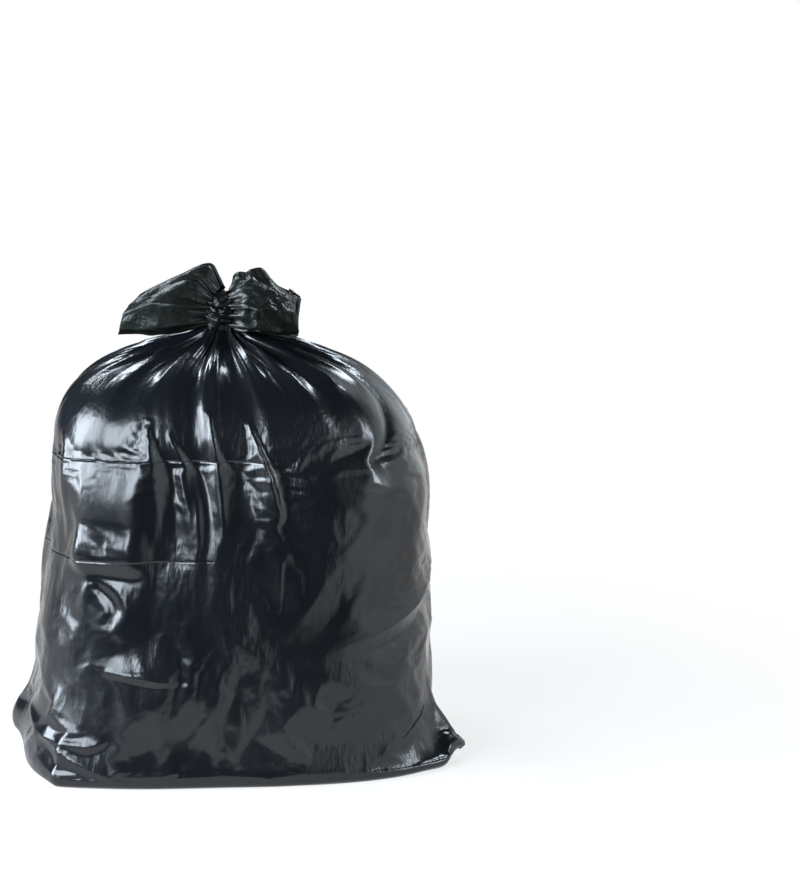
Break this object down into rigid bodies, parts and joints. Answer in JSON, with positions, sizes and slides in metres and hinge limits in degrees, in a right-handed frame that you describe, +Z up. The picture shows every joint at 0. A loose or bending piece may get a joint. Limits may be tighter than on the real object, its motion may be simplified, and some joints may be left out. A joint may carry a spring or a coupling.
{
  "type": "filled bin bag",
  "caption": "Filled bin bag standing on its flat base, with its mouth tied in a knot of its own film and two loose ends fanned out above the knot.",
  "frame": {"origin": "middle of the flat base that the bag stands on", "axes": "+Z up through the bag, -Y the front that the picture shows, +X to the right of that front"},
  "size_m": [0.4937, 0.3243, 0.5314],
  "materials": {
    "film": "glossy black film, a little blue, with sharp creases"
  },
  "bodies": {
    "root": {"bag": "film"}
  },
  "joints": []
}
